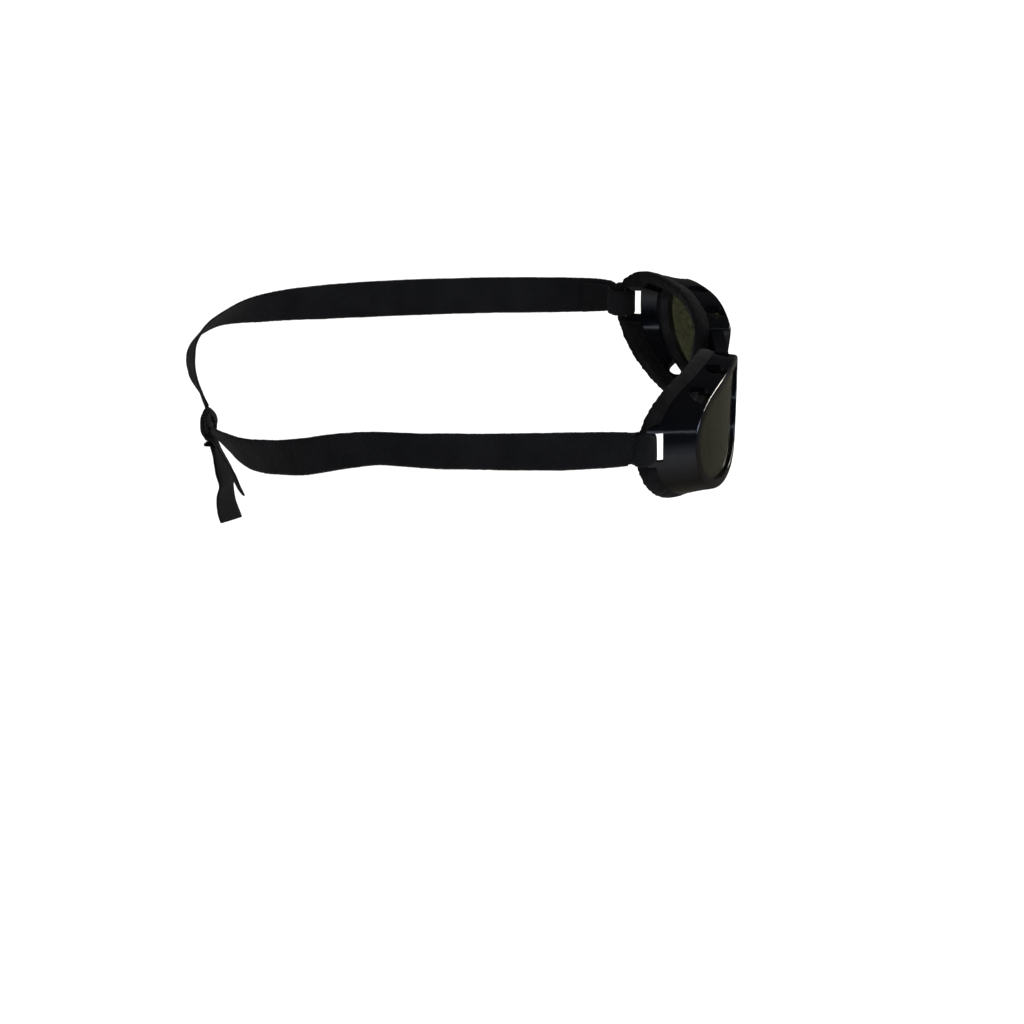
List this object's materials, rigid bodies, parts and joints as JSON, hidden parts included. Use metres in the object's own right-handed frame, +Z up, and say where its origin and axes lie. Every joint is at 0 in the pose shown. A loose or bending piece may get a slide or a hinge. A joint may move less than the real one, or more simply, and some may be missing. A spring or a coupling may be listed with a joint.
{
  "type": "welding goggles",
  "caption": "Wrap-round moulded goggles with dark snap-in lenses, side strap slots, foam face seals and a woven tape strap tied behind the head.",
  "frame": {"origin": "middle of the nose bridge on its face side, where the goggles are worn against the face", "axes": "+Z up, -Y the way the wearer looks, +X the wearer's left"},
  "size_m": [0.165, 0.208, 0.0768],
  "materials": {
    "frame": "glossy moulded black",
    "lens": "polished dark green shade",
    "lens_ring": "satin moulded black",
    "seal": "velour-faced foam",
    "tape": "twill-woven tape",
    "thread": "sewing thread"
  },
  "bodies": {
    "goggle_body": {"frame": "frame", "left_face_seal": "seal", "right_face_seal": "seal", "left_strap_loop": "tape", "right_strap_loop": "tape"},
    "left_lens_body": {"left_lens": "lens"},
    "right_lens_body": {"right_lens": "lens"},
    "left_ring_body": {"left_lens_ring": "lens_ring"},
    "right_ring_body": {"right_lens_ring": "lens_ring"},
    "strap_body": {"left_strap": "tape", "right_strap": "tape", "left_strap_stitching": "thread", "right_strap_stitching": "thread", "strap_knot": "tape"},
    "left_tail_body": {"left_tail": "tape"},
    "right_tail_body": {"right_tail": "tape"}
  },
  "joints": [
    {"name": "left_ring_slide", "type": "slide", "parent": "goggle_body", "child": "left_ring_body", "axis": [0, 1, 0], "range_m": [0, 0.009]},
    {"name": "left_lens_slide", "type": "slide", "parent": "goggle_body", "child": "left_lens_body", "axis": [0, 1, 0], "range_m": [0, 0.0045]},
    {"name": "right_ring_slide", "type": "slide", "parent": "goggle_body", "child": "right_ring_body", "axis": [0, 1, 0], "range_m": [0, 0.009]},
    {"name": "right_lens_slide", "type": "slide", "parent": "goggle_body", "child": "right_lens_body", "axis": [0, 1, 0], "range_m": [0, 0.0045]},
    {"name": "strap_tilt", "type": "hinge", "parent": "goggle_body", "child": "strap_body", "pos_m": [0, 0.0345, -0.0036], "axis": [1, 0, 0], "range_deg": [-12, 12]},
    {"name": "left_tail_swing", "type": "hinge", "parent": "strap_body", "child": "left_tail_body", "pos_m": [0.0015, 0.1906, -0.0278], "axis": [1, 0, 0], "range_deg": [0, 60]},
    {"name": "right_tail_swing", "type": "hinge", "parent": "strap_body", "child": "right_tail_body", "pos_m": [-0.0045, 0.1884, -0.0278], "axis": [1, 0, 0], "range_deg": [-35, 0]}
  ],
  "couplings": [
    {"joint": "left_lens_slide", "follows": "left_ring_slide", "ratio": 0.5},
    {"joint": "right_lens_slide", "follows": "right_ring_slide", "ratio": 0.5}
  ]
}
